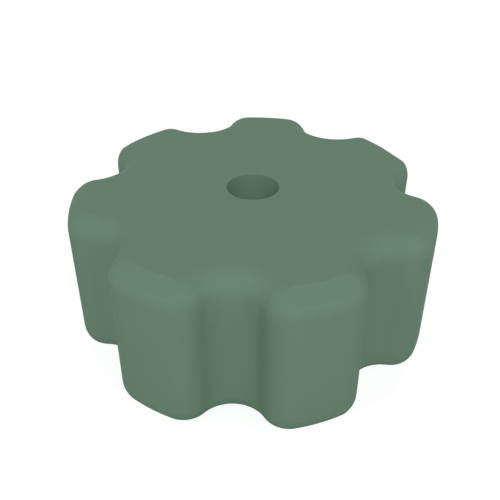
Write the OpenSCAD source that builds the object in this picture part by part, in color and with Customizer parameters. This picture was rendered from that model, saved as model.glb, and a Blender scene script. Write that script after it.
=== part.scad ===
// Tightening knob: a lobed hand knob moulded in one piece.
// A stud passes through its plain bore, and the nut sits in a hexagon socket in the base.
// The origin is on the bore's axis, in the plane of the base. One lobe points along +X.

/* [Grip] */
// Diameter over the crests of the lobes
knob_d = 45; // [40:0.5:60]
// Height from the base to the top face
knob_h = 19; // [15:0.5:30]
// Number of lobes, with one flute between each pair
lobe_count = 7; // [5:1:8]
// Depth of a flute, from the crest circle to its floor
flute_depth = 4.1; // [3.5:0.1:5]
// Radius of a flute's floor
flute_r = 3.9; // [3:0.1:5]
// Radius of the upright corners where a lobe turns into a flute
corner_r = 3.5; // [3.2:0.1:4.2]

/* [Edges] */
// Radius of the rounding along the top and base edges
edge_r = 3; // [1.5:0.1:3.3]
// Height of the top rounding that the flat top face cuts away
top_cut = 0.1; // [0.05:0.05:0.5]
// Height of the base rounding that the flat base cuts away
base_cut = 1.4; // [0.2:0.1:2]
// Distance from the crest circle to the upper edge of the crest chamfer
chamfer_reach = 2.25; // [1.5:0.05:3]
// Slope of the crest chamfer below the top face, in degrees
chamfer_slope = 37; // [30:1:50]

/* [Bore and nut] */
// Diameter of the plain bore, with room for an M6 stud
bore_d = 6.4; // [4.3:0.1:8.4]
// Width across the flats of the nut
nut_flats = 10; // [8.5:0.5:13]
// Room round the nut in its socket, across the flats
nut_clearance = 0.3; // [0.1:0.05:0.5]
// Depth of the nut's socket
socket_depth = 5.5; // [4:0.1:8]

/* [Hidden] */
// Coarse step in the place of a corner or a flute
coarse_step = 0.001;
// How far a cutting shape reaches past the face that it opens
past = 1;
// Least width left on a corner inside the rounding of its edges
least_flat = 0.1;
$fn = 96;

crest_r = knob_d / 2;
lobe_step = 360 / lobe_count;
flute_angles = [for (k = [0 : lobe_count - 1]) (k + 0.5) * lobe_step];
// Circles that hold the axes of the flutes and of the lobes' corners
flute_ring_r = crest_r - flute_depth + flute_r;
corner_ring_r = crest_r - corner_r;
// Distance from a flute's axis to the axis of a corner beside it
corner_gap = flute_r + corner_r;
// Angle at the knob's axis between the two
corner_spread = acos((pow(corner_ring_r, 2) + pow(flute_ring_r, 2) - pow(corner_gap, 2))
                     / (2 * corner_ring_r * flute_ring_r));
// Angle that a corner turns through, from the crest round to the flute
corner_turn = acos((pow(flute_ring_r, 2) - pow(corner_ring_r, 2) - pow(corner_gap, 2))
                   / (2 * corner_ring_r * corner_gap));
// The edge rounding stays inside the corner that it runs round
round_r = min(edge_r, corner_r - least_flat);
// Heights of the centres of the two roundings
base_round_z = round_r - base_cut;
top_round_z = knob_h + top_cut - round_r;
socket_corner_r = (nut_flats + nut_clearance) / 2 / cos(30);

sage = [0.39, 0.49, 0.42];

// Section behind an upright wall at x = 0, with its top and base edges rounded
module edge_section(reach) {
    translate([-reach, -past])
        square([reach - round_r, knob_h + 2 * past]);
    translate([-reach, base_round_z])
        square([reach, top_round_z - base_round_z]);
    for (z = [base_round_z, top_round_z])
        translate([-round_r, z])
            circle(round_r);
}

// The same section from an axis out to the wall, cut flat at the base and the top face
module edge_profile(radius) {
    intersection() {
        translate([radius, 0])
            edge_section(radius + past);
        square([radius + past, knob_h]);
    }
}

// Moves its children out from the axis, in a coarse and a fine step that keep every digit
module at_polar(radius, angle) {
    point = radius * [cos(angle), sin(angle)];
    coarse = [for (x = point) round(x / coarse_step) * coarse_step];
    translate(coarse)
        translate(point - coarse)
            children();
}

// Turns a section about a lobe's corner, between the crest and the flute that the corner is beside
module corner_sweep(flute_angle, side) {
    crest_side = flute_angle + side * corner_spread;
    flute_side = crest_side - side * corner_turn;
    at_polar(corner_ring_r, crest_side)
        rotate_extrude(angle = corner_turn, start = min(crest_side, flute_side))
            children();
}

// Slice that clears the room for a corner, right through the knob
module corner_slice(flute_angle, side) {
    corner_sweep(flute_angle, side)
        translate([0, -past])
            square([corner_gap + flute_depth, knob_h + 2 * past]);
}

// Round floor of a flute, which flares out over the top and base roundings
module flute_spool(flute_angle) {
    at_polar(flute_ring_r, flute_angle)
        rotate_extrude()
            difference() {
                translate([0, -past])
                    square([flute_r + round_r, knob_h + 2 * past]);
                translate([flute_r, 0])
                    mirror([1, 0])
                        edge_section(round_r + past);
            }
}

// Ring outside the cone of the crest chamfer
module crest_chamfer() {
    rim_x = crest_r + past;
    rise = tan(chamfer_slope);
    rotate_extrude()
        polygon([
            [crest_r - chamfer_reach - past / rise, knob_h + past],
            [rim_x, knob_h - (past + chamfer_reach) * rise],
            [rim_x, knob_h + past],
        ]);
}

module bore() {
    translate([0, 0, -past])
        cylinder(h = knob_h + 2 * past, d = bore_d);
}

module nut_socket() {
    translate([0, 0, -past])
        cylinder(h = socket_depth + past, r = socket_corner_r, $fn = 6);
}

// Lobed grip before it is chamfered and bored
module lobed_grip() {
    difference() {
        rotate_extrude()
            edge_profile(crest_r);
        for (flute_angle = flute_angles) {
            for (side = [-1, 1])
                corner_slice(flute_angle, side);
            flute_spool(flute_angle);
        }
    }
    for (flute_angle = flute_angles, side = [-1, 1])
        corner_sweep(flute_angle, side)
            edge_profile(corner_r);
}

module knob() {
    color(sage)
        difference() {
            lobed_grip();
            crest_chamfer();
            bore();
            nut_socket();
        }
}

knob();
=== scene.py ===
"""Tightening knob: one lobed moulding in matte sage-green plastic, on a pale table."""

import math

import bmesh
import bpy
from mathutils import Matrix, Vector


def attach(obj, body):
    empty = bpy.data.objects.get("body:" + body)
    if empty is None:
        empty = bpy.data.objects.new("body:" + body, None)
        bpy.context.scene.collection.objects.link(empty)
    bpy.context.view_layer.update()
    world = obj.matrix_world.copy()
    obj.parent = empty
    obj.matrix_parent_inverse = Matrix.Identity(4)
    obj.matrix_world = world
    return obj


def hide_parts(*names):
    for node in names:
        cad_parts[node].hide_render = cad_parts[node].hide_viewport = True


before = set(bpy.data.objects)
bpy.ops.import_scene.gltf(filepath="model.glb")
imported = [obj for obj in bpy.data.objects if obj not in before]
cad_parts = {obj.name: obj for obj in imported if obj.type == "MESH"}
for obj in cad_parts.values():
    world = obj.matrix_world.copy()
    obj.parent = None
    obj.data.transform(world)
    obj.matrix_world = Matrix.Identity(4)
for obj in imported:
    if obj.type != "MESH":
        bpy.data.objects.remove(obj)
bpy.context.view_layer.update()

# Sizes of the knob, in millimetres
MM = 0.001
CREST_R = 22.5
KNOB_H = 19.0
LOBE_COUNT = 7
FLUTE_DEPTH = 4.1
FLUTE_R = 3.9
CORNER_R = 3.5
EDGE_R = 3.0
TOP_CUT = 0.1
BASE_CUT = 1.4
CHAMFER_REACH = 2.25
CHAMFER_SLOPE = math.radians(37)
BORE_R = 3.2
SOCKET_FLATS = 10.3
SOCKET_DEPTH = 5.5

# Small edge breaks that a mould leaves, in millimetres
BASE_BREAK = 0.25
RIM_BREAK = 0.15
CREASE_BREAK = 0.03
SOCKET_CORNER_BREAK = 0.3

# Rows of points that hold a face true beside an edge, by their distance from it, in millimetres
CREASE_HOLD = 0.05
TOP_HOLDS = (0.2, 0.45, 0.8)
BASE_HOLDS = (0.6, 0.15)
RIM_HOLDS = (0.25, 0.08)
WALL_HOLD = 0.2

# Least lengths over the top rounding that keep the rows of its creases apart, in millimetres
LEAST_BAND = 0.24
LEAST_SHOULDER = 0.2

# Circles that hold the axes of the flutes and of the lobes' corners, and their angles
LOBE_STEP = math.tau / LOBE_COUNT
FLUTE_RING_R = CREST_R - FLUTE_DEPTH + FLUTE_R
CORNER_RING_R = CREST_R - CORNER_R
CORNER_GAP = FLUTE_R + CORNER_R
CORNER_SPREAD = math.acos((CORNER_RING_R**2 + FLUTE_RING_R**2 - CORNER_GAP**2)
                          / (2 * CORNER_RING_R * FLUTE_RING_R))
CORNER_TURN = math.acos((FLUTE_RING_R**2 - CORNER_RING_R**2 - CORNER_GAP**2)
                        / (2 * CORNER_RING_R * CORNER_GAP))

# Heights of the centres of the edge roundings, and the top one's length up to the flat face and depth there
BASE_ROUND_Z = EDGE_R - BASE_CUT
TOP_ROUND_Z = KNOB_H + TOP_CUT - EDGE_R
TOP_ROUND_TURN = math.asin((KNOB_H - TOP_ROUND_Z) / EDGE_R)
TOP_ROUND_LENGTH = EDGE_R * TOP_ROUND_TURN
TOP_FLAT_DEPTH = EDGE_R - EDGE_R * math.cos(TOP_ROUND_TURN)

# How finely each stretch of an outline is divided
CREST_STEPS = 16
CORNER_STEPS = 36
FLUTE_STEPS = 26
BORE_STEPS = 128
HEXAGON_CORNER_STEPS = 6

# How finely each stretch of a section is divided
BREAK_STEPS = 4
BASE_ROUND_STEPS = 7
WALL_STEPS = 6
TOP_ROUND_STEPS = 12
CHAMFER_STEPS = 8
SHOULDER_STEPS = 5
BORE_WALL_STEPS = 5
SOCKET_WALL_STEPS = 2

# How closely the edges of the crest chamfer are searched for
SEARCH_STEPS = 400
SEARCH_HALVINGS = 40

# Edges that turn by more than this stay sharp
SHARP_TURN = math.radians(35)

# Material slots of the moulding
GRIP, CORED = 0, 1


def direction(angle):
    """Level unit vector at an angle from +X."""
    return Vector((math.cos(angle), math.sin(angle)))


def spread(start, end, count):
    """Even steps from start to end, with both of them."""
    return [start + (end - start) * i / count for i in range(count + 1)]


def outline():
    """Points round the lobes, each with the direction that leads into the plastic."""
    crest_half = LOBE_STEP / 2 - CORNER_SPREAD
    flute_half = crest_half + CORNER_TURN - LOBE_STEP / 2
    stations = []

    def arc(centre, radius, start, turn, steps, inward):
        for angle in spread(start, start + turn, steps)[:-1]:
            stations.append((centre + radius * direction(angle), inward * direction(angle)))

    for lobe in range(LOBE_COUNT):
        middle = lobe * LOBE_STEP
        flute = middle + LOBE_STEP / 2
        near_corner = middle + crest_half
        far_corner = middle + LOBE_STEP - crest_half
        arc(Vector((0, 0)), CREST_R, middle - crest_half, 2 * crest_half, CREST_STEPS, -1)
        arc(CORNER_RING_R * direction(near_corner), CORNER_R, near_corner, CORNER_TURN, CORNER_STEPS, -1)
        arc(FLUTE_RING_R * direction(flute), FLUTE_R, flute + math.pi + flute_half, -2 * flute_half,
            FLUTE_STEPS, 1)
        arc(CORNER_RING_R * direction(far_corner), CORNER_R, far_corner - CORNER_TURN, CORNER_TURN,
            CORNER_STEPS, -1)
    return stations


def lower_rows():
    """Depth behind the outline and height of each row, from the base to the top of the upright wall."""
    # The break is an arc that runs tangent from the base into the rounding, and they meet at this angle
    break_rise = BASE_ROUND_Z - BASE_BREAK
    break_in = math.sqrt((EDGE_R - BASE_BREAK)**2 - break_rise**2)
    meet = -math.atan2(break_rise, break_in)
    foot = EDGE_R - break_in

    rows = [(foot + hold, 0) for hold in BASE_HOLDS]
    for angle in spread(-math.pi / 2, meet, BREAK_STEPS):
        rows.append((foot - BASE_BREAK * math.cos(angle), BASE_BREAK + BASE_BREAK * math.sin(angle)))
    for angle in spread(meet, 0, BASE_ROUND_STEPS)[1:]:
        rows.append((EDGE_R - EDGE_R * math.cos(angle), BASE_ROUND_Z + EDGE_R * math.sin(angle)))
    return rows + [(0, z) for z in spread(BASE_ROUND_Z, TOP_ROUND_Z, WALL_STEPS)[1:-1]]


def over_top(station, travel):
    """Point that lies a length of travel over the top rounding, and on across the flat top face."""
    point, inward = station
    if travel < TOP_ROUND_LENGTH:
        depth = EDGE_R - EDGE_R * math.cos(travel / EDGE_R)
        z = TOP_ROUND_Z + EDGE_R * math.sin(travel / EDGE_R)
    else:
        depth = TOP_FLAT_DEPTH + travel - TOP_ROUND_LENGTH
        z = KNOB_H
    place = point + depth * inward
    return Vector((place.x, place.y, z))


def proud_of_chamfer(place):
    """How far a point stands outside the cone of the crest chamfer."""
    radius = math.hypot(place.x, place.y)
    return ((radius - CREST_R + CHAMFER_REACH) * math.sin(CHAMFER_SLOPE)
            + (place.z - KNOB_H) * math.cos(CHAMFER_SLOPE))


def crest_chamfered(place):
    """Draws a point outside the cone of the crest chamfer in to it."""
    proud = max(proud_of_chamfer(place), 0)
    radius = math.hypot(place.x, place.y)
    shrink = 1 - proud * math.sin(CHAMFER_SLOPE) / radius
    return Vector((place.x * shrink, place.y * shrink, place.z - proud * math.cos(CHAMFER_SLOPE)))


def chamfer_edges(station):
    """Travel to the lower and the upper edge of the crest chamfer, or to the point nearest to it."""
    def proud(travel):
        return proud_of_chamfer(over_top(station, travel))

    def crossing(inside, outside):
        for _ in range(SEARCH_HALVINGS):
            middle = (inside + outside) / 2
            if proud(middle) > 0:
                inside = middle
            else:
                outside = middle
        return (inside + outside) / 2

    peak = max(spread(0, TOP_ROUND_LENGTH, SEARCH_STEPS), key=proud)
    if proud(peak) <= 0:
        return peak, peak
    return crossing(peak, 0), crossing(peak, TOP_ROUND_LENGTH + EDGE_R)


def top_rows(station):
    """Points of one station from the top rounding onto the top face, with rows close to each crease."""
    near = CREASE_BREAK + CREASE_HOLD
    lower, upper = chamfer_edges(station)
    middle = (lower + upper) / 2
    lower = min(lower, middle - LEAST_BAND / 2)
    upper = max(upper, middle + LEAST_BAND / 2)
    flat = max(TOP_ROUND_LENGTH, upper + LEAST_SHOULDER)

    def held(edge):
        return [edge - near, edge - CREASE_BREAK, edge + CREASE_BREAK, edge + near]

    travels = spread(0, lower - near, TOP_ROUND_STEPS)[:-1] + held(lower)
    travels += spread(lower + near, upper - near, CHAMFER_STEPS)[1:-1] + held(upper)
    travels += spread(upper + near, flat - near, SHOULDER_STEPS)[1:-1] + held(flat)
    travels += [flat + hold for hold in TOP_HOLDS]
    return [crest_chamfered(over_top(station, travel)) for travel in travels]


def circle(radius):
    """Points round a circle, each with the direction out of the hole."""
    return [(radius * direction(angle), direction(angle)) for angle in spread(0, math.tau, BORE_STEPS)[:-1]]


def hexagon(flats, corner_break):
    """Points round a hexagon with slightly rounded corners, each with the direction out of the hole."""
    points = []
    corner_ring = (flats / 2 - corner_break) / math.cos(math.pi / 6)
    for corner in range(6):
        middle = corner * math.pi / 3
        for angle in spread(middle - math.pi / 6, middle + math.pi / 6, HEXAGON_CORNER_STEPS):
            point = corner_ring * direction(middle) + corner_break * direction(angle)
            points.append((point, direction(angle)))
    return points


def hole_rows(depth, wall_steps):
    """Widening and depth of each row of a hole, from the flat face over its rim and down its wall."""
    rows = [(RIM_BREAK + hold, 0) for hold in RIM_HOLDS]
    for angle in spread(0, math.pi / 2, BREAK_STEPS):
        rows.append((RIM_BREAK * (1 - math.sin(angle)), RIM_BREAK * (1 - math.cos(angle))))
    rows += [(0, down) for down in spread(RIM_BREAK + WALL_HOLD, depth - WALL_HOLD, wall_steps)]
    return rows + [(0, depth)]


def add_loop(bm, places):
    """New points of the mesh, at places in millimetres."""
    return [bm.verts.new(place * MM) for place in places]


def add_loops(bm, points, rows):
    """One loop for each row, which gives how far its points move along their directions, and its height."""
    loops = []
    for aside, z in rows:
        level = [point + aside * way for point, way in points]
        loops.append(add_loop(bm, [Vector((place.x, place.y, z)) for place in level]))
    return loops


def join_loops(bm, loops, material):
    """Joins each loop to the next one with a ring of smooth faces."""
    for lower, upper in zip(loops, loops[1:]):
        for i in range(len(lower)):
            j = (i + 1) % len(lower)
            face = bm.faces.new((lower[i], lower[j], upper[j], upper[i]))
            face.material_index = material
            face.smooth = True


def fill_between(bm, outer, inner, material, normal):
    """Fills the flat ring between two loops."""
    edges = []
    for loop in (outer, inner):
        for a, b in zip(loop, loop[1:] + loop[:1]):
            edges.append(bm.edges.get((a, b)) or bm.edges.new((a, b)))
    filled = bmesh.ops.triangle_fill(bm, use_beauty=True, use_dissolve=False, edges=edges, normal=normal)
    for face in filled["geom"]:
        if isinstance(face, bmesh.types.BMFace):
            face.material_index = material
            face.smooth = True


def make_knob(materials):
    """The whole moulding, as one closed mesh."""
    bm = bmesh.new()

    # Lobed outside, from the base to the top face
    stations = outline()
    grip_loops = add_loops(bm, stations, lower_rows())
    for row in zip(*(top_rows(station) for station in stations)):
        grip_loops.append(add_loop(bm, row))
    join_loops(bm, grip_loops, GRIP)

    # Bore, from the top face down to the roof of the nut's socket
    bore_depth = KNOB_H - SOCKET_DEPTH
    bore_rows = [(widen, KNOB_H - down) for widen, down in hole_rows(bore_depth, BORE_WALL_STEPS)]
    bore_loops = add_loops(bm, circle(BORE_R), bore_rows)

    # The grip's finish runs one row over the bore's rim, and the mould's core leaves the rest
    rim = len(RIM_HOLDS) + 1
    join_loops(bm, bore_loops[:rim + 1], GRIP)
    join_loops(bm, bore_loops[rim:], CORED)

    # Hexagon socket, from its mouth in the base up to its roof
    socket_sides = hexagon(SOCKET_FLATS, SOCKET_CORNER_BREAK)
    socket_loops = add_loops(bm, socket_sides, hole_rows(SOCKET_DEPTH, SOCKET_WALL_STEPS))
    join_loops(bm, socket_loops, CORED)

    # Flat faces: the top, the roof of the socket and the base
    fill_between(bm, grip_loops[-1], bore_loops[0], GRIP, (0, 0, 1))
    fill_between(bm, socket_loops[-1], bore_loops[-1], CORED, (0, 0, -1))
    fill_between(bm, grip_loops[0], socket_loops[0], GRIP, (0, 0, -1))

    bmesh.ops.recalc_face_normals(bm, faces=bm.faces)
    mesh = bpy.data.meshes.new("knob_moulding")
    bm.to_mesh(mesh)
    bm.free()
    mesh.set_sharp_from_angle(angle=SHARP_TURN)
    for material in materials:
        mesh.materials.append(material)
    knob = bpy.data.objects.new("knob_moulding", mesh)
    bpy.context.scene.collection.objects.link(knob)
    return knob


# Colour and gloss of the plastic
SAGE = (0.124, 0.207, 0.144, 1)
PLASTIC_IOR = 1.5
SPECULAR_LEVEL = 0.12

# Scales of the noise in the plastic, per metre, and the value that noise lies about
MELT_FLOW_SCALE = 260.0
PIGMENT_SCALE = 2600.0
SKIN_SCALE = 900.0
NOISE_MIDDLE = 0.5

# Strength of the pigment's speckle beside the flow, and height of the grain in metres
PIGMENT_SHARE = 0.6
GRAIN_HEIGHT = 0.00002


def moulded_surface():
    """Node group for moulded plastic: spark-eroded grain, faint flow mottling and uneven gloss."""
    group = bpy.data.node_groups.new("moulded surface", "ShaderNodeTree")
    for name, kind, default in (
            ("Colour", "NodeSocketColor", (0.5, 0.5, 0.5, 1)),
            ("Grain Scale", "NodeSocketFloat", 5000.0),
            ("Grain Depth", "NodeSocketFloat", 0.1),
            ("Mottling", "NodeSocketFloat", 0.05),
            ("Roughness", "NodeSocketFloat", 0.5),
            ("Gloss Spread", "NodeSocketFloat", 0.1)):
        group.interface.new_socket(name=name, in_out="INPUT", socket_type=kind).default_value = default
    for name, kind in (
            ("Colour", "NodeSocketColor"),
            ("Roughness", "NodeSocketFloat"),
            ("Normal", "NodeSocketVector")):
        group.interface.new_socket(name=name, in_out="OUTPUT", socket_type=kind)
    nodes, links = group.nodes, group.links
    given = nodes.new("NodeGroupInput")
    result = nodes.new("NodeGroupOutput")
    place = nodes.new("ShaderNodeTexCoord")

    def noise(name, scale, detail, roughness=0.5):
        node = nodes.new("ShaderNodeTexNoise")
        node.label = name
        node.inputs["Detail"].default_value = detail
        node.inputs["Roughness"].default_value = roughness
        links.new(place.outputs["Object"], node.inputs["Vector"])
        if isinstance(scale, (int, float)):
            node.inputs["Scale"].default_value = scale
        else:
            links.new(scale, node.inputs["Scale"])
        return node.outputs["Fac"]

    def maths(operation, a, b):
        node = nodes.new("ShaderNodeMath")
        node.operation = operation
        for i, value in enumerate((a, b)):
            if isinstance(value, (int, float)):
                node.inputs[i].default_value = value
            else:
                links.new(value, node.inputs[i])
        return node.outputs[0]

    # Colour: cloudy flow of the melt and a finer pigment speckle, both about the given colour
    flow = maths("SUBTRACT", noise("melt flow", MELT_FLOW_SCALE, detail=3.0), NOISE_MIDDLE)
    pigment = maths("SUBTRACT", noise("pigment", PIGMENT_SCALE, detail=2.0), NOISE_MIDDLE)
    cloud = maths("ADD", flow, maths("MULTIPLY", pigment, PIGMENT_SHARE))
    tint = nodes.new("ShaderNodeHueSaturation")
    links.new(given.outputs["Colour"], tint.inputs["Color"])
    links.new(maths("ADD", maths("MULTIPLY", cloud, given.outputs["Mottling"]), 1.0), tint.inputs["Value"])
    links.new(tint.outputs["Color"], result.inputs["Colour"])

    # Gloss: uneven where the melt met the mould
    skin = maths("SUBTRACT", noise("skin", SKIN_SCALE, detail=3.0), NOISE_MIDDLE)
    rough = maths("ADD", given.outputs["Roughness"], maths("MULTIPLY", skin, given.outputs["Gloss Spread"]))
    links.new(rough, result.inputs["Roughness"])

    # Grain: small rounded pits of a spark-eroded mould
    bump = nodes.new("ShaderNodeBump")
    bump.inputs["Distance"].default_value = GRAIN_HEIGHT
    links.new(given.outputs["Grain Depth"], bump.inputs["Strength"])
    grain = noise("spark grain", given.outputs["Grain Scale"], detail=2.0, roughness=0.6)
    links.new(grain, bump.inputs["Height"])
    links.new(bump.outputs["Normal"], result.inputs["Normal"])
    return group


def moulded_plastic(name, surface, values):
    """Matte plastic that takes its colour, roughness and grain from the moulded surface group."""
    material = bpy.data.materials.new(name)
    material.use_nodes = True
    nodes, links = material.node_tree.nodes, material.node_tree.links
    shader = nodes["Principled BSDF"]
    shader.inputs["IOR"].default_value = PLASTIC_IOR
    shader.inputs["Specular IOR Level"].default_value = SPECULAR_LEVEL
    skin = nodes.new("ShaderNodeGroup")
    skin.node_tree = surface
    for key, value in values.items():
        skin.inputs[key].default_value = value
    links.new(skin.outputs["Colour"], shader.inputs["Base Color"])
    links.new(skin.outputs["Roughness"], shader.inputs["Roughness"])
    links.new(skin.outputs["Normal"], shader.inputs["Normal"])
    return material


surface = moulded_surface()
grip_plastic = moulded_plastic("sage grip plastic", surface, {
    "Colour": SAGE, "Grain Scale": 5200.0, "Grain Depth": 0.35, "Mottling": 0.05,
    "Roughness": 0.8, "Gloss Spread": 0.12,
})
cored_plastic = moulded_plastic("sage cored plastic", surface, {
    "Colour": SAGE, "Grain Scale": 9000.0, "Grain Depth": 0.15, "Mottling": 0.04,
    "Roughness": 0.6, "Gloss Spread": 0.10,
})

knob = make_knob((grip_plastic, cored_plastic))
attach(knob, "root")
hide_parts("knob")

# Table, in metres, and the white that it adds close to the knob and from afar
WHITE = (1, 1, 1, 1)
TABLE_HALF = 1.5
TABLE_GREY = (0.5, 0.5, 0.5, 1)
CLOSE_REACH, CLOSE_WHITE = 0.08, 0.62
FAR_REACH, FAR_WHITE = 0.4, 1.0

# Strength of the room's own light, and of the white that it shows
ROOM_LIGHT = 0.02
ROOM_WHITE = 1.0

# Camera at the photograph's viewing angle: its turn round the bore, its rise, and lengths in millimetres
CAMERA_POLAR = math.radians(-71.217)
CAMERA_RISE = math.radians(34.805)
CAMERA_REACH = 90.206
AIM_RIGHT = -0.3527
AIM_UP = -0.0208
LENS = 50.0
SENSOR_WIDTH = 36.0
CLIP_START = 5.0

# Distance of the softboxes from the knob's middle, in millimetres
SOFTBOX_REACH = 600.0
MIDDLE = Vector((0, 0, KNOB_H / 2))


def seen_directly(nodes, links):
    """1 for a ray that shows the background: straight to the camera, or by way of gloss or glass."""
    path = nodes.new("ShaderNodeLightPath")
    shown = path.outputs["Is Camera Ray"]
    for kind in ("Is Glossy Ray", "Is Transmission Ray"):
        either = nodes.new("ShaderNodeMath")
        either.operation = "MAXIMUM"
        links.new(shown, either.inputs[0])
        links.new(path.outputs[kind], either.inputs[1])
        shown = either.outputs[0]
    return shown


def pale_table():
    """Material that shows white and keeps the knob's soft shadow."""
    material = bpy.data.materials.new("pale table")
    material.use_nodes = True
    nodes, links = material.node_tree.nodes, material.node_tree.links
    nodes.clear()
    paper = nodes.new("ShaderNodeBsdfDiffuse")
    paper.inputs["Color"].default_value = TABLE_GREY
    white = nodes.new("ShaderNodeEmission")
    white.inputs["Color"].default_value = WHITE

    # The white grows with the distance from the knob, where the softboxes reach less
    place = nodes.new("ShaderNodeTexCoord")
    distance = nodes.new("ShaderNodeVectorMath")
    distance.operation = "LENGTH"
    links.new(place.outputs["Object"], distance.inputs[0])
    growth = nodes.new("ShaderNodeMapRange")
    for key, value in (("From Min", CLOSE_REACH), ("From Max", FAR_REACH),
                       ("To Min", CLOSE_WHITE), ("To Max", FAR_WHITE)):
        growth.inputs[key].default_value = value
    links.new(distance.outputs["Value"], growth.inputs["Value"])
    amount = nodes.new("ShaderNodeMath")
    amount.operation = "MULTIPLY"
    links.new(seen_directly(nodes, links), amount.inputs[0])
    links.new(growth.outputs["Result"], amount.inputs[1])
    links.new(amount.outputs[0], white.inputs["Strength"])

    both = nodes.new("ShaderNodeAddShader")
    out = nodes.new("ShaderNodeOutputMaterial")
    links.new(paper.outputs[0], both.inputs[0])
    links.new(white.outputs[0], both.inputs[1])
    links.new(both.outputs[0], out.inputs["Surface"])
    return material


def make_table():
    """Table that the knob stands on."""
    mesh = bpy.data.meshes.new("table")
    corners = [(x * TABLE_HALF, y * TABLE_HALF, 0) for x, y in ((-1, -1), (1, -1), (1, 1), (-1, 1))]
    mesh.from_pydata(corners, [], [(0, 1, 2, 3)])
    mesh.materials.append(pale_table())
    table = bpy.data.objects.new("table", mesh)
    bpy.context.scene.collection.objects.link(table)
    return table


def off_middle(polar, rise, reach):
    """Place at a distance from the knob's middle, round the bore and above the table."""
    level = direction(polar) * math.cos(rise)
    return MIDDLE + reach * Vector((level.x, level.y, math.sin(rise)))


def make_camera():
    place = off_middle(CAMERA_POLAR, CAMERA_RISE, CAMERA_REACH)
    toward = (place - MIDDLE).normalized()
    right = Vector((-math.sin(CAMERA_POLAR), math.cos(CAMERA_POLAR), 0))
    aim = MIDDLE + AIM_RIGHT * right + AIM_UP * toward.cross(right)
    data = bpy.data.cameras.new("camera")
    data.lens = LENS
    data.sensor_width = SENSOR_WIDTH
    data.clip_start = CLIP_START * MM
    camera = bpy.data.objects.new("camera", data)
    camera.location = place * MM
    camera.rotation_euler = (aim - place).to_track_quat("-Z", "Y").to_euler()
    bpy.context.scene.collection.objects.link(camera)
    bpy.context.scene.camera = camera


def make_softbox(name, turn, rise, size, power):
    """Square softbox that faces the knob, turned to the camera's right and raised by degrees.

    Its size is in millimetres and its power in watts.
    """
    place = off_middle(CAMERA_POLAR + math.radians(turn), math.radians(rise), SOFTBOX_REACH)
    data = bpy.data.lights.new(name, "AREA")
    data.shape = "SQUARE"
    data.size = size * MM
    data.energy = power
    softbox = bpy.data.objects.new(name, data)
    softbox.location = place * MM
    softbox.rotation_euler = (MIDDLE - place).to_track_quat("-Z", "Y").to_euler()
    bpy.context.scene.collection.objects.link(softbox)


def make_room():
    """Dim room that shows white behind the table."""
    world = bpy.data.worlds.new("studio room")
    bpy.context.scene.world = world
    world.use_nodes = True
    nodes, links = world.node_tree.nodes, world.node_tree.links
    room = nodes["Background"]
    room.inputs["Color"].default_value = WHITE
    strength = nodes.new("ShaderNodeMix")
    strength.inputs["A"].default_value = ROOM_LIGHT
    strength.inputs["B"].default_value = ROOM_WHITE
    links.new(seen_directly(nodes, links), strength.inputs["Factor"])
    links.new(strength.outputs["Result"], room.inputs["Strength"])


make_table()
make_camera()
make_room()
make_softbox("front softbox", turn=0, rise=39, size=180, power=2.88)
for hand, name in ((-1, "left"), (1, "right")):
    make_softbox(f"{name} front softbox", turn=hand * 60, rise=30, size=250, power=0.45)
    make_softbox(f"{name} side softbox", turn=hand * 100, rise=18, size=250, power=0.66)
    make_softbox(f"{name} rear softbox", turn=hand * 155, rise=20, size=250, power=0.84)

bpy.context.scene.view_settings.view_transform = "Standard"
